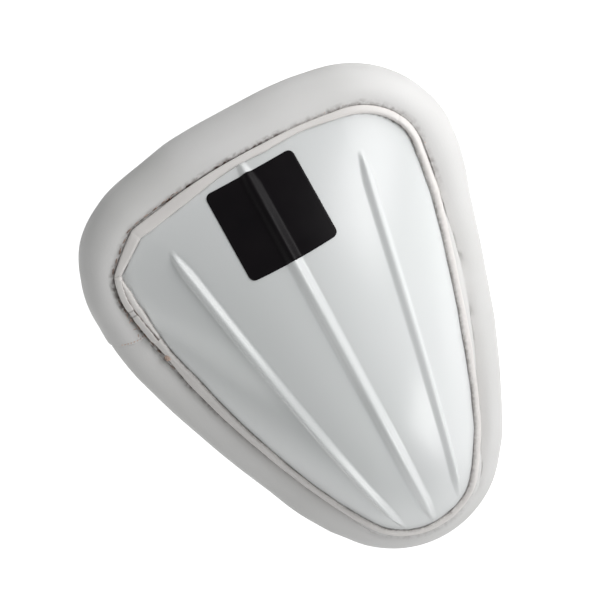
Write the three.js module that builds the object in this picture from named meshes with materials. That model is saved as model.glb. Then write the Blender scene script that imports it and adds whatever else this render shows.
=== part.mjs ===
// Abdominal guard for cricket: a ribbed plastic cup with a padded roll sewn round its edge.
// Millimetres, +Z up. It lies on the roll, dome up, with its wide top edge towards +Y.

import * as THREE from "three";
import { ParametricGeometry } from "three/addons/geometries/ParametricGeometry.js";

const { lerp, clamp, smoothstep, degToRad } = THREE.MathUtils;

// Seam outline, where the roll is sewn to the cup: four tangent arcs on each side
const SEAM_HALF_WIDTH = 53.4;
const SEAM_TOP_Y = 71.3;
const SEAM_TIP_Y = -77.2;
const TOP_RADIUS = 220;
const CORNER_RADIUS = 22;
const SIDE_RADIUS = 350;
const TIP_RADIUS = 23.5;

// Cup: heights of its outer face, and the ellipse of its level lines near the crown
const SEAM_TOP_HEIGHT = 16.8;
const SEAM_TIP_HEIGHT = 12.6;
const CROWN_Y = -8;
const CROWN_RISE = 29;
const CROWN_HALF_WIDTH = 55;
const CROWN_TO_TOP = 76;
const CROWN_TO_TIP = 68;
const WALL = 2.4;
const FLANGE = 3.2;

// Ribs: how far across a row they run, as shares of the half width at the top and at the tip, with a
// sway towards the tip; where along the cup they start and end, as shares of its length; and their sizes
const RIBS = [
  { topAcross: -0.572, tipAcross: -0.385, sway: 0, start: 0.1, end: 0.93, halfWidth: 2.1, height: 1.35 },
  { topAcross: 0.004, tipAcross: 0.004, sway: -0.045, start: 0.05, end: 0.95, halfWidth: 3.1, height: 1.7 },
  { topAcross: 0.637, tipAcross: 0.375, sway: 0, start: 0.1, end: 0.93, halfWidth: 2.5, height: 1.4 },
];
const MIDDLE_RIB = RIBS[1];
const RIB_END_SHARE = 0.05;

// Roll round half the seam, by share of the way from the middle of the top to the tip:
// how far the seam leans in off the roll's highest line, in degrees
const ROLL_STATIONS = [
  { share: 0, lean: 18 },
  { share: 0.27, lean: 11 },
  { share: 0.45, lean: 20 },
  { share: 0.75, lean: 20 },
  { share: 1, lean: -6 },
];
const REST_FLAT = 0.8;

// Hem width by share of the whole way round, clockwise from the middle of the top
const HEM_STATIONS = [
  { share: 0, width: 2.6 },
  { share: 0.06, width: 2.2 },
  { share: 0.088, width: 2.8 },
  { share: 0.132, width: 2.3 },
  { share: 0.165, width: 3.6 },
  { share: 0.32, width: 4.2 },
  { share: 0.39, width: 3 },
  { share: 0.5, width: 4.4 },
  { share: 0.6, width: 2.7 },
  { share: 0.68, width: 2.8 },
  { share: 0.77, width: 4 },
  { share: 0.835, width: 4.7 },
  { share: 0.866, width: 2.2 },
  { share: 0.905, width: 3.9 },
  { share: 0.96, width: 3 },
  { share: 1, width: 2.6 },
];
const HEM_THICKNESS = 1.3;

// Straight runs of the hem between two folds: how far each cuts inside the round of its corner
const HEM_RUNS = [
  { from: 0.088, to: 0.132, tuck: 0.5 },
  { from: 0.866, to: 0.905, tuck: 1.5 },
];
const FOLD_LIFT = 0.8;
const FOLD_LENGTH = 6;

// End of the roll's cover, lapped over its start on the left side: it stands proud above the lap's
// edge and the roll is drawn in below it
const LAP_SHARE = 0.815;
const LAP_RISE = 0.4;
const LAP_DIP = 0.6;
const LAP_FADE_SHARE = 0.09;
const LAP_TURN = Math.PI / 4;

// Label: a square laid over the middle rib
const LABEL_SIZE = 30.6;
const LABEL_X = 0.9;
const LABEL_Y = 52.2;
const LABEL_SLOPE = degToRad(26);
const LABEL_CORNER = 2;
const LABEL_THICKNESS = 0.5;
const LABEL_DRAPE = 1.2;

// Space left between pieces that touch
const GAP = 0.45;

// Steps of the facets
const PANEL_STEPS = 5;
const RIB_STEPS = 6;
const CUP_ROWS = 24;
const ROUND_STEPS = 96;
const ROLL_ARC_STEPS = 14;
const LABEL_ROWS = 10;
const LABEL_COLUMNS = 24;
const RIM_BEVEL = 0.9;
const TIP_PART = 0.7;
const REAR_HALVINGS = 30;

function bearing(from, to) {
  return Math.atan2(to.y - from.y, to.x - from.x);
}

// Arcs of the right half of the seam, moved outwards by a distance, from the top to the tip
function seamArcs(outwards) {
  const top = new THREE.Vector2(0, SEAM_TOP_Y - TOP_RADIUS);
  const tip = new THREE.Vector2(0, SEAM_TIP_Y + TIP_RADIUS);
  const cornerX = SEAM_HALF_WIDTH - CORNER_RADIUS;
  const cornerRise = Math.sqrt((TOP_RADIUS - CORNER_RADIUS) ** 2 - cornerX ** 2);
  const corner = new THREE.Vector2(cornerX, top.y + cornerRise);
  const toCorner = SIDE_RADIUS - CORNER_RADIUS;
  const toTip = SIDE_RADIUS - TIP_RADIUS;
  const span = tip.clone().sub(corner);
  const spanLength = span.length();
  span.normalize();
  const along = (toCorner ** 2 - toTip ** 2 + spanLength ** 2) / (2 * spanLength);
  const aside = Math.sqrt(toCorner ** 2 - along ** 2);
  const side = corner.clone().addScaledVector(span, along);
  side.add(new THREE.Vector2(span.y, -span.x).multiplyScalar(aside));
  const cornerStart = bearing(top, corner);
  const sideStart = bearing(side, corner);
  const tipStart = bearing(side, tip);
  return [
    { centre: top, radius: TOP_RADIUS + outwards, from: Math.PI / 2, to: cornerStart },
    { centre: corner, radius: CORNER_RADIUS + outwards, from: cornerStart, to: sideStart },
    { centre: side, radius: SIDE_RADIUS + outwards, from: sideStart, to: tipStart },
    { centre: tip, radius: TIP_RADIUS + outwards, from: tipStart, to: -Math.PI / 2 },
  ];
}

function sum(total, value) {
  return total + value;
}

function arcLength(arc) {
  return arc.radius * (arc.from - arc.to);
}

function arcPoint(arc, angle) {
  return new THREE.Vector2(Math.cos(angle), Math.sin(angle)).multiplyScalar(arc.radius).add(arc.centre);
}

// Point and outward direction on a seam path, by share of the whole way round, clockwise from the top
function onPath(arcs, share) {
  const turn = share - Math.floor(share);
  const onLeft = turn > 0.5;
  const lengths = arcs.map(arcLength);
  let remaining = 2 * (onLeft ? 1 - turn : turn) * lengths.reduce(sum);
  let index = 0;
  while (index < arcs.length - 1 && remaining > lengths[index]) {
    remaining -= lengths[index];
    index += 1;
  }
  const arc = arcs[index];
  const angle = arc.from - remaining / arc.radius;
  const point = arcPoint(arc, angle);
  const outward = new THREE.Vector2(Math.cos(angle), Math.sin(angle));
  if (onLeft) {
    point.x *= -1;
    outward.x *= -1;
  }
  return { point, outward };
}

const SEAM = seamArcs(0);
const RIM = seamArcs(FLANGE);
const SEAM_LENGTH = 2 * SEAM.map(arcLength).reduce(sum);

// Distance from the crown to the seam in a direction
function seamReach(x, y) {
  const ray = new THREE.Vector2(Math.abs(x), y).normalize();
  const crown = new THREE.Vector2(0, CROWN_Y);
  const rayBearing = Math.atan2(ray.y, ray.x);
  const past = SEAM.slice(0, -1).filter((arc) => rayBearing < bearing(crown, arcPoint(arc, arc.to)));
  const arc = SEAM[past.length];
  const toCentre = arc.centre.clone().sub(crown);
  const along = ray.dot(toCentre);
  return along + Math.sqrt(along ** 2 - toCentre.lengthSq() + arc.radius ** 2);
}

// Height of the cup's outer face without ribs: level lines go from an ellipse to the seam outline
function domeHeight(x, y) {
  const base = lerp(SEAM_TIP_HEIGHT, SEAM_TOP_HEIGHT, (y - SEAM_TIP_Y) / (SEAM_TOP_Y - SEAM_TIP_Y));
  const ahead = y - CROWN_Y;
  const distance = Math.hypot(x, ahead);
  const seamShare = distance > 0 ? distance / seamReach(x, ahead) : 0;
  const crownLength = ahead > 0 ? CROWN_TO_TOP : CROWN_TO_TIP;
  const ellipse = (x / CROWN_HALF_WIDTH) ** 2 + (ahead / crownLength) ** 2;
  const outlineWeight = Math.min(seamShare, 1) ** 2;
  return base + CROWN_RISE * (1 - lerp(ellipse, seamShare ** 2, outlineWeight));
}

function domeNormal(x, y) {
  const step = 0.05;
  const slopeX = (domeHeight(x + step, y) - domeHeight(x - step, y)) / (2 * step);
  const slopeY = (domeHeight(x, y + step) - domeHeight(x, y - step)) / (2 * step);
  return new THREE.Vector3(-slopeX, -slopeY, 1).normalize();
}

// Point a distance above the dome, square to it
function aboveDome(plan, lift) {
  const foot = new THREE.Vector3(plan.x, plan.y, domeHeight(plan.x, plan.y));
  return foot.addScaledVector(domeNormal(plan.x, plan.y), lift);
}

// Corners of the cup's plan on its rim: halfway round the top corner, and most of the way up the tip's arc
const RIM_LENGTHS = RIM.map(arcLength);
const RIM_LENGTH = 2 * RIM_LENGTHS.reduce(sum);
const CORNER_SHARE = (RIM_LENGTHS[0] + RIM_LENGTHS[1] / 2) / RIM_LENGTH;
const TIP_CORNER_SHARE = 0.5 - TIP_PART * RIM_LENGTHS[3] / RIM_LENGTH;

// Plan of the cup: along runs from the top edge (0) to the tip (1), across from left (-1) to right (1)
function cupPlan(along, across) {
  const topEdge = (place) => onPath(RIM, place * CORNER_SHARE).point;
  const tipEdge = (place) => onPath(RIM, 0.5 - place * (0.5 - TIP_CORNER_SHARE)).point;
  const rightEdge = onPath(RIM, lerp(CORNER_SHARE, TIP_CORNER_SHARE, along)).point;
  const leftEdge = rightEdge.clone().setX(-rightEdge.x);
  const rightward = (across + 1) / 2;
  const plan = topEdge(across).lerp(tipEdge(across), along);
  const straight = topEdge(-1).lerp(tipEdge(-1), along).lerp(topEdge(1).lerp(tipEdge(1), along), rightward);
  return plan.add(leftEdge.lerp(rightEdge, rightward)).sub(straight);
}

function ribAcross(rib, along) {
  return lerp(rib.tipAcross, rib.topAcross, (1 - along) ** 2) + rib.sway * along ** 3;
}

// A rib's rounded section, 1 on its crest and 0 at its feet
function ribSection(offset, halfWidth) {
  const share = clamp(Math.abs(offset) / halfWidth, 0, 1);
  return Math.cos(share * Math.PI / 2) ** 2;
}

function ribLift(along, across) {
  const plan = cupPlan(along, across);
  const lifts = RIBS.map((rib) => {
    const start = smoothstep(along, rib.start, rib.start + RIB_END_SHARE);
    const end = 1 - smoothstep(along, rib.end - RIB_END_SHARE, rib.end);
    const offset = plan.distanceTo(cupPlan(along, ribAcross(rib, along)));
    return rib.height * start * end * ribSection(offset, rib.halfWidth);
  });
  return Math.max(...lifts);
}

// Rows and columns of the cup's facets, with close columns on the ribs and a bevel at the rim
function cupRow(index) {
  const bevel = RIM_BEVEL / (SEAM_TOP_Y - SEAM_TIP_Y);
  if (index === 0 || index === CUP_ROWS) return index / CUP_ROWS;
  return lerp(bevel, 1 - bevel, (index - 1) / (CUP_ROWS - 2));
}

function cupColumns(along) {
  const halfWidth = cupPlan(along, 1).x;
  const bevel = RIM_BEVEL / halfWidth;
  const stops = [-1 + bevel];
  for (const rib of RIBS) {
    const middle = ribAcross(rib, along);
    stops.push(middle - rib.halfWidth / halfWidth, middle + rib.halfWidth / halfWidth);
  }
  stops.push(1 - bevel);
  const columns = [-1];
  for (let stop = 0; stop < stops.length - 1; stop += 1) {
    const steps = stop % 2 === 0 ? PANEL_STEPS : RIB_STEPS;
    for (let step = 0; step < steps; step += 1) {
      columns.push(lerp(stops[stop], stops[stop + 1], step / steps));
    }
  }
  columns.push(1 - bevel, 1);
  return columns;
}

// Closed slab: each row of the loop goes out along the rear face and comes back along the front face,
// and the two faces meet along the slab's edge
function slab(rows, columns, facePoint) {
  const place = (acrossShare, alongShare, target) => {
    const row = Math.round(alongShare * rows);
    const turn = Math.round(acrossShare * 2 * columns);
    const column = turn <= columns ? turn : 2 * columns - turn;
    const onEdge = row === 0 || row === rows || column === 0 || column === columns;
    const depth = onEdge ? 0.5 : Number(turn < columns);
    target.copy(facePoint(row, column, depth));
  };
  return new ParametricGeometry(place, 2 * columns, rows);
}

// Closed ring: sections with the same number of points follow each other round the seam
function ring(stations, sectionAt) {
  const sections = stations.map(sectionAt);
  const count = sections[0].length;
  const place = (stationShare, roundShare, target) => {
    const station = Math.round(stationShare * stations.length) % stations.length;
    const point = Math.round(roundShare * count) % count;
    target.copy(sections[station][point]);
  };
  return new ParametricGeometry(place, stations.length, count);
}

function cupGeometry() {
  const columnCount = cupColumns(0).length - 1;
  const rows = [];
  for (let row = 0; row <= CUP_ROWS; row += 1) {
    const along = cupRow(row);
    const points = cupColumns(along).map((across) => {
      return { plan: cupPlan(along, across), lift: ribLift(along, across) };
    });
    rows.push(points);
  }
  return slab(CUP_ROWS, columnCount, (row, column, depth) => {
    const { plan, lift } = rows[row][column];
    return aboveDome(plan, lift - depth * WALL);
  });
}

// Lean of the seam, eased along half the seam and mirrored on the other half
const LEAN_CURVE = new THREE.CubicInterpolant(
  ROLL_STATIONS.map((station) => station.share),
  ROLL_STATIONS.map((station) => station.lean),
  1,
);
LEAN_CURVE.settings = { endingStart: THREE.ZeroSlopeEnding, endingEnd: THREE.ZeroSlopeEnding };

function seamLean(share) {
  return degToRad(LEAN_CURVE.evaluate(share <= 0.5 ? 2 * share : 2 * (1 - share))[0]);
}

const HEM_CURVE = new THREE.LinearInterpolant(
  HEM_STATIONS.map((station) => station.share),
  HEM_STATIONS.map((station) => station.width),
  1,
);

// How far the hem and the seam beside it cut inside the round of a corner
function hemTuck(share) {
  const tucks = HEM_RUNS.map((run) => {
    const place = clamp((share - run.from) / (run.to - run.from), 0, 1);
    return run.tuck * (1 - (2 * place - 1) ** 2);
  });
  return Math.max(...tucks);
}

function hemFoldLift(share) {
  const distances = HEM_RUNS.flatMap((run) => [share - run.from, share - run.to]);
  const nearest = Math.min(...distances.map(Math.abs)) * SEAM_LENGTH;
  return FOLD_LIFT * (1 - smoothstep(nearest, 0, FOLD_LENGTH));
}

// Change of the roll's radius beside the lap's edge
function lapAt(share) {
  const past = share - LAP_SHARE;
  const fade = 1 - clamp(Math.abs(past) / LAP_FADE_SHARE, 0, 1);
  return fade * (past > 0 ? LAP_RISE : -LAP_DIP);
}

// Section of the roll at a place on the seam: round the outside from the seam's front to the cup's
// inner face, flat below, then round the slot that holds the cup's flange
function rollSection(share) {
  const { point, outward } = onPath(SEAM, share);
  const planAt = (distance) => point.clone().addScaledVector(outward, distance);
  const lean = seamLean(share);
  const radius = (aboveDome(point, GAP).z + REST_FLAT) / (1 + Math.cos(lean));
  const sectionPoint = (distance, height) => {
    const plan = planAt(distance);
    return new THREE.Vector3(plan.x, plan.y, height);
  };
  const centreOut = radius * Math.sin(lean);
  const centre = sectionPoint(centreOut, radius - REST_FLAT);
  const innerFace = (distance) => aboveDome(planAt(distance), -WALL - GAP);
  let inside = 0;
  let outside = -radius;
  for (let halving = 0; halving < REAR_HALVINGS; halving += 1) {
    const middle = (inside + outside) / 2;
    if (innerFace(middle).distanceTo(centre) > radius) outside = middle;
    else inside = middle;
  }
  const rear = innerFace(inside);
  const rearOut = (rear.x - centre.x) * outward.x + (rear.y - centre.y) * outward.y;
  const startTurn = -lean;
  const endTurn = 2 * Math.PI + Math.atan2(rearOut, rear.z - centre.z);
  const section = [aboveDome(planAt(-hemTuck(share)), GAP)];
  for (let step = 1; step < ROLL_ARC_STEPS; step += 1) {
    const turn = lerp(startTurn, endTurn, step / ROLL_ARC_STEPS);
    const lapEase = smoothstep(turn - startTurn, 0, LAP_TURN) * smoothstep(endTurn - turn, 0, LAP_TURN);
    const reach = radius + lapAt(share) * lapEase;
    const height = Math.max(0, centre.z + reach * Math.cos(turn));
    section.push(sectionPoint(centreOut + reach * Math.sin(turn), height));
  }
  section.push(rear, innerFace(FLANGE + GAP), aboveDome(planAt(FLANGE + GAP), GAP));
  return section;
}

// Section of the hem: a low crowned strip on the cup's face, just inside the seam
function hemSection(share) {
  const { point, outward } = onPath(SEAM, share);
  const width = HEM_CURVE.evaluate(share)[0];
  const tuck = hemTuck(share);
  const top = GAP + HEM_THICKNESS + hemFoldLift(share);
  const shoulder = GAP + HEM_THICKNESS / 2;
  const corners = [
    { inwards: 1, height: GAP },
    { inwards: 1, height: shoulder },
    { inwards: 0.75, height: top },
    { inwards: 0.3, height: top },
    { inwards: 0, height: shoulder },
    { inwards: 0, height: GAP },
  ];
  return corners.map(({ inwards, height }) => {
    const distance = tuck + lerp(GAP, width, inwards);
    return aboveDome(point.clone().addScaledVector(outward, -distance), height);
  });
}

// Places round the seam, evenly spread, with some drawn in to the hem's folds and the lap's edge
function roundStations() {
  const stations = [];
  for (let step = 0; step < ROUND_STEPS; step += 1) stations.push(step / ROUND_STEPS);
  for (const run of HEM_RUNS) {
    stations[Math.round(run.from * ROUND_STEPS)] = run.from;
    stations[Math.round(run.to * ROUND_STEPS)] = run.to;
  }
  const beforeLap = Math.floor(LAP_SHARE * ROUND_STEPS);
  stations[beforeLap] = LAP_SHARE - GAP / SEAM_LENGTH;
  stations[beforeLap + 1] = LAP_SHARE + GAP / SEAM_LENGTH;
  return stations;
}

// Point of a square with round corners, both places running from -1 to 1
function roundedSquare(acrossPlace, alongPlace) {
  const half = LABEL_SIZE / 2;
  const size = Math.max(Math.abs(acrossPlace), Math.abs(alongPlace));
  const corner = LABEL_CORNER * size;
  const point = new THREE.Vector2(acrossPlace, alongPlace).multiplyScalar(half);
  const reach = half * size - corner;
  const centre = new THREE.Vector2(clamp(point.x, -reach, reach), clamp(point.y, -reach, reach));
  const fromCentre = point.clone().sub(centre);
  return fromCentre.length() > corner ? centre.add(fromCentre.setLength(corner)) : point;
}

// The label bridges the feet of the rib below it, so its own fold is wider than the rib
function labelGeometry() {
  return slab(LABEL_ROWS, LABEL_COLUMNS, (row, column, depth) => {
    const flat = roundedSquare(lerp(-1, 1, column / LABEL_COLUMNS), lerp(1, -1, row / LABEL_ROWS));
    const plan = new THREE.Vector2(LABEL_X + flat.x, LABEL_Y + flat.y * Math.cos(LABEL_SLOPE));
    const fold = ribSection(plan.x, LABEL_DRAPE * MIDDLE_RIB.halfWidth);
    const lift = MIDDLE_RIB.height * fold + GAP;
    return aboveDome(plan, lift + (1 - depth) * LABEL_THICKNESS);
  });
}

function piece(name, geometry, look) {
  const mesh = new THREE.Mesh(geometry, new THREE.MeshStandardMaterial(look));
  mesh.name = name;
  return mesh;
}

const STATIONS = roundStations();
const VINYL = { color: 0xdedad6, roughness: 0.55, metalness: 0 };

const guard = new THREE.Group();
guard.add(
  piece("shell", cupGeometry(), { color: 0xdfe3e4, roughness: 0.3, metalness: 0 }),
  piece("edge_roll", ring(STATIONS, rollSection), VINYL),
  piece("hem", ring(STATIONS, hemSection), VINYL),
  piece("label", labelGeometry(), { color: 0x171517, roughness: 0.4, metalness: 0 }),
);

export default guard;
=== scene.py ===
"""Abdominal guard: the looks of its ribbed cup, padded roll, front hem, plain label and sewing.

Shapes are worked out in millimetres in the part's own frame, +Z up and the wide top edge towards +Y,
and meshes are made in metres. A place round the seam is a share of the whole way, clockwise from the
middle of the top edge as seen from above.
"""
import math
import random
from collections import namedtuple
from functools import lru_cache

import bmesh
import bpy
from mathutils import Matrix, Vector, kdtree, noise
from mathutils.bvhtree import BVHTree


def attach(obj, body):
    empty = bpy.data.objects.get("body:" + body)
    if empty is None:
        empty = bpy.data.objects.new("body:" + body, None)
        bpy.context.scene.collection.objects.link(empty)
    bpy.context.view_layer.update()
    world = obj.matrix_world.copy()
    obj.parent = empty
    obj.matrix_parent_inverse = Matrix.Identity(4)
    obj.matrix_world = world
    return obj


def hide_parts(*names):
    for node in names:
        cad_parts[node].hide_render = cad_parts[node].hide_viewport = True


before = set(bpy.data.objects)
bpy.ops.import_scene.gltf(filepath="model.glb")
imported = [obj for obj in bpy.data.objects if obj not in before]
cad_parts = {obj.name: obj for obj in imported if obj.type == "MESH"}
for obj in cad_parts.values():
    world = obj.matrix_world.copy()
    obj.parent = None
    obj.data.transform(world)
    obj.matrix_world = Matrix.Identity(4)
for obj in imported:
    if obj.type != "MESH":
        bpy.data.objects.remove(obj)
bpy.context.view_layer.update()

MM = 0.001
WELD = 1e-7

# Seam outline, where the roll is sewn to the cup: four tangent arcs on each side
SEAM_HALF_WIDTH = 53.4
SEAM_TOP_Y = 71.3
SEAM_TIP_Y = -77.2
TOP_RADIUS = 220
CORNER_RADIUS = 22
SIDE_RADIUS = 350
TIP_RADIUS = 23.5

# Cup: heights of its outer face, the ellipse of its level lines near the crown, its wall and flange,
# and the part of the tip's arc that its columns end on
SEAM_TOP_HEIGHT = 16.8
SEAM_TIP_HEIGHT = 12.6
CROWN_Y = -8
CROWN_RISE = 29
CROWN_HALF_WIDTH = 55
CROWN_TO_TOP = 76
CROWN_TO_TIP = 68
WALL = 2.4
FLANGE = 3.2
TIP_PART = 0.7

# Ribs: shares of the half width at the top and the tip, a sway towards the tip, shares of the cup's
# length at their ends, and sizes
Rib = namedtuple("Rib", "top_across tip_across sway start end half_width height")
RIBS = (
    Rib(-0.573, -0.39, 0.0, 0.116, 0.935, 2.4, 1.75),
    Rib(0.004, 0.004, -0.045, 0.036, 0.955, 3.1, 1.7),
    Rib(0.637, 0.375, 0.0, 0.124, 0.935, 2.4, 1.35),
)
RIB_TIP_WIDTH = 0.8
RIB_START_SHARE = 0.045
RIB_END_SHARE = 0.09
RIB_START_WIDTH = 0.5
RIB_END_WIDTH = 0.35

# Roll round half the seam: how far the seam leans in off the roll's highest line, in degrees
LeanRow = namedtuple("LeanRow", "share lean")
LEAN_ROWS = (
    LeanRow(0.0, 18),
    LeanRow(0.27, 11),
    LeanRow(0.45, 20),
    LeanRow(0.75, 20),
    LeanRow(1.0, -6),
)
REST_FLAT = 0.8
SLOT_GAP = 0.35

# Roll's cover beside its sewing: its reach under the hem, its lift there and its swelling beyond, the
# distances from the hem where its spots lie closer, and how firmly the stitches hold it
UNDER_HEM = 1.0
HOLLOW_LIFT = 0.15
PILLOW = 0.8
PILLOW_START = 0.5
PILLOW_FADE = 6
NEAR_SEWING = (0.35, 0.7, 1.0, 1.3)
SEWN_REACH = 0.6
STITCH_HOLD = 0.7
HELD_TURN = math.radians(35)

# Grime and painted shade on the roll in the crease beside the hem: they reach past the hem's lean, less
# far at the top, fade over their width and are weaker between the needle's holes
HEM_LEAN = 1.2
TOP_LEAN_LOSS = 0.15
STAIN_AND_SHADE_WIDTH = 0.5
STAIN_AND_SHADE_STRENGTH = 0.85
STAIN_AND_SHADE_BETWEEN = 0.6

# Unevenness of the padding round the roll's outer side
SwellRow = namedtuple("SwellRow", "share swell")
SWELL_ROWS = (
    SwellRow(0.0, 0.8),
    SwellRow(0.02, 0.95),
    SwellRow(0.04, 1.4),
    SwellRow(0.06, 1.6),
    SwellRow(0.08, 1.35),
    SwellRow(0.1, 0.5),
    SwellRow(0.12, 0.0),
    SwellRow(0.14, 0.0),
    SwellRow(0.16, 0.8),
    SwellRow(0.18, 1.05),
    SwellRow(0.2, 0.3),
    SwellRow(0.22, -1.2),
    SwellRow(0.24, -1.6),
    SwellRow(0.28, -1.5),
    SwellRow(0.3, -1.15),
    SwellRow(0.32, -0.4),
    SwellRow(0.38, -0.6),
    SwellRow(0.42, 0.7),
    SwellRow(0.44, 0.2),
    SwellRow(0.5, 0.0),
    SwellRow(0.54, -0.1),
    SwellRow(0.56, 0.55),
    SwellRow(0.58, 1.5),
    SwellRow(0.6, 1.25),
    SwellRow(0.64, 0.55),
    SwellRow(0.68, 0.4),
    SwellRow(0.72, 0.75),
    SwellRow(0.76, 1.3),
    SwellRow(0.78, 1.45),
    SwellRow(0.812, 1.15),
    SwellRow(0.84, -0.1),
    SwellRow(0.86, -0.9),
    SwellRow(0.88, 0.0),
    SwellRow(0.9, -0.25),
    SwellRow(0.92, 0.45),
    SwellRow(0.94, 0.6),
    SwellRow(0.96, 1.2),
    SwellRow(0.98, 1.0),
    SwellRow(1.0, 0.8),
)

# Cloth run of the roll's cover
COVER_SLACK = 0.4
SLACK_UNEVENNESS = 0.8
SLACK_PATCHES = 3.2
SLACK_PATCH_TURN = 0.6
COVER_MASS = 0.001
COVER_PRESSURE = 3000
COVER_FRAMES = 20
COVER_TRAVEL = 1.0

# Hem round the whole seam: its width, how much of it is a bead beside the roll, the open crease
# between it and the roll with grime and painted shade in it, and the open line under its inner edge,
# whose height also sets the painted shade and grime along that edge
HemRow = namedtuple("HemRow", "share width bead crease stain under")
HEM_ROWS = (
    HemRow(0.0, 2.5, 0.1, 0.4, 1.3, 0.06),
    HemRow(0.02, 2.6, 0.1, 0.4, 1.2, 0.06),
    HemRow(0.05, 1.9, 0.1, 0.1, 0.45, 0.1),
    HemRow(0.08, 2.4, 0.2, 0.15, 0.7, 0.12),
    HemRow(0.1, 2.6, 0.25, 0.0, 0.6, 0.12),
    HemRow(0.122, 2.6, 0.35, 0.0, 0.5, 0.25),
    HemRow(0.132, 2.6, 0.4, 0.0, 0.5, 0.45),
    HemRow(0.142, 2.7, 0.5, 0.0, 0.4, 0.45),
    HemRow(0.152, 3.2, 0.7, 0.2, 0.35, 0.35),
    HemRow(0.165, 3.7, 0.9, 0.6, 0.3, 0.25),
    HemRow(0.185, 3.5, 1.0, 0.4, 0.5, 0.22),
    HemRow(0.2, 3.4, 1.0, 0.1, 0.1, 0.2),
    HemRow(0.24, 4.0, 1.0, 1.0, 0.0, 0.2),
    HemRow(0.28, 4.4, 1.0, 1.8, 0.0, 0.2),
    HemRow(0.32, 4.6, 1.0, 1.1, 0.0, 0.2),
    HemRow(0.36, 3.55, 1.0, 0.6, 0.0, 0.2),
    HemRow(0.4, 2.7, 1.0, -0.2, 0.0, 0.12),
    HemRow(0.44, 4.3, 0.9, 1.2, 0.05, 0.2),
    HemRow(0.46, 4.2, 0.8, 1.4, 0.1, 0.2),
    HemRow(0.48, 4.35, 0.6, 1.9, 0.25, 0.2),
    HemRow(0.486, 4.35, 0.6, 2.0, 0.25, 0.6),
    HemRow(0.491, 4.35, 0.5, 2.1, 0.25, 0.2),
    HemRow(0.5, 4.4, 0.4, 2.1, 0.25, 0.2),
    HemRow(0.52, 3.9, 0.3, 2.0, 0.3, 0.25),
    HemRow(0.56, 3.4, 0.3, 1.3, 0.15, 0.22),
    HemRow(0.6, 2.55, 0.3, 0.6, 0.15, 0.18),
    HemRow(0.64, 2.75, 0.2, 0.75, 0.25, 0.18),
    HemRow(0.68, 3.1, 0.2, 0.65, 0.3, 0.2),
    HemRow(0.72, 3.5, 0.2, 0.5, 0.6, 0.25),
    HemRow(0.76, 3.8, 0.2, 0.5, 0.8, 0.3),
    HemRow(0.79, 3.2, 0.1, 1.5, 1.2, 0.25),
    HemRow(0.805, 3.7, 0.0, 1.2, 1.2, 0.25),
    HemRow(0.83, 4.8, 0.0, 1.0, 1.0, 0.25),
    HemRow(0.85, 4.4, 0.0, 0.7, 1.1, 0.3),
    HemRow(0.866, 2.6, 0.0, 0.4, 0.8, 0.4),
    HemRow(0.88, 3.2, 0.0, 0.4, 0.5, 0.35),
    HemRow(0.905, 4.2, 0.0, 0.6, 0.5, 0.2),
    HemRow(0.915, 4.7, 0.0, 0.9, 0.7, 0.15),
    HemRow(0.93, 4.4, 0.0, 0.9, 1.1, 0.12),
    HemRow(0.95, 4.0, 0.0, 0.6, 1.3, 0.1),
    HemRow(0.98, 2.7, 0.0, 0.4, 1.3, 0.06),
    HemRow(1.0, 2.5, 0.1, 0.4, 1.3, 0.06),
)
HEM_THICKNESS = 1.25
HEM_ROUND = 0.5
BEAD_HEIGHT = 1.55
BEAD_LEAN = 0.58
HEM_OUTER_LIFT = 0.35
# Painted shade on the bead's inner slope, which faces away from the light: how strong, and where it
# fades
BEAD_SHADE = 0.1
BEAD_SHADE_START = 0.1
BEAD_SHADE_END = 0.4
LOW_PART = 0.75
# Painted shade with brown grime under the hem's inner edge and on the cup beside it, set by how far that
# edge stands off the cup
UNDER_GRIME_AND_SHADE = 2
CUP_GRIME_AND_SHADE = 2.6

# Unevenness round the seam: how much, in how many waves, and which noise
Wobble = namedtuple("Wobble", "amount cycles seed")
WIDTH_WOBBLE = Wobble(0.2, 40, 1)
HEIGHT_WOBBLE = Wobble(0.12, 55, 2)
UNDER_WOBBLE = Wobble(0.5, 60, 3)
LEAN_WOBBLE = Wobble(0.2, 100, 5)
STAIN_AND_SHADE_WOBBLE = Wobble(0.5, 130, 6)

# Straight run of the hem between two folds, cutting inside the round of its corner
RUN_START = 0.866
RUN_END = 0.905
RUN_TUCK = 1.1

# Folds of the hem: how far it stands up beside each, and the depth of the crease across it
HemFold = namedtuple("HemFold", "share lift crease")
HEM_FOLDS = (HemFold(0.132, 0.4, 0.3), HemFold(0.866, 0.6, 0.8), HemFold(0.905, 0.3, 0.1))
FOLD_LENGTH = 6
FOLD_CREASE_WIDTH = 0.4
FOLD_SPACINGS = (0.15, 0.45)

# Second layer of the hem on the left, drawn in at its waist between two dark lines
LAYER_START = 0.8035
LAYER_END = 0.8645
LAYER_WAIST = 0.8325
LAYER_WIDTH = 1.9
LAYER_THICKNESS = 1.0
LAYER_INSET = 0.45
LAYER_BED = 0.25
LAYER_END_ROUND = 0.8
LAYER_SIDE_ROUND = 0.5
LAYER_TOP_ROUND = 0.6
WAIST_DEPTH = 0.3
WAIST_LENGTH = 1.2
# Painted shade on the layer's lower half, fading in between these two places round its section
LAYER_UNSHADED = -0.6
LAYER_SHADED = 0.2
TIE_DARKNESS = 0.65
TIE_DISTANCE = 0.9
TIE_WIDTH = 0.25
# Painted shadow line on the hem beside the layer's inner edge: how far it lies past the layer's width
LINE_OFFSET = 0.2
NO_LAYER = 9

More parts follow.
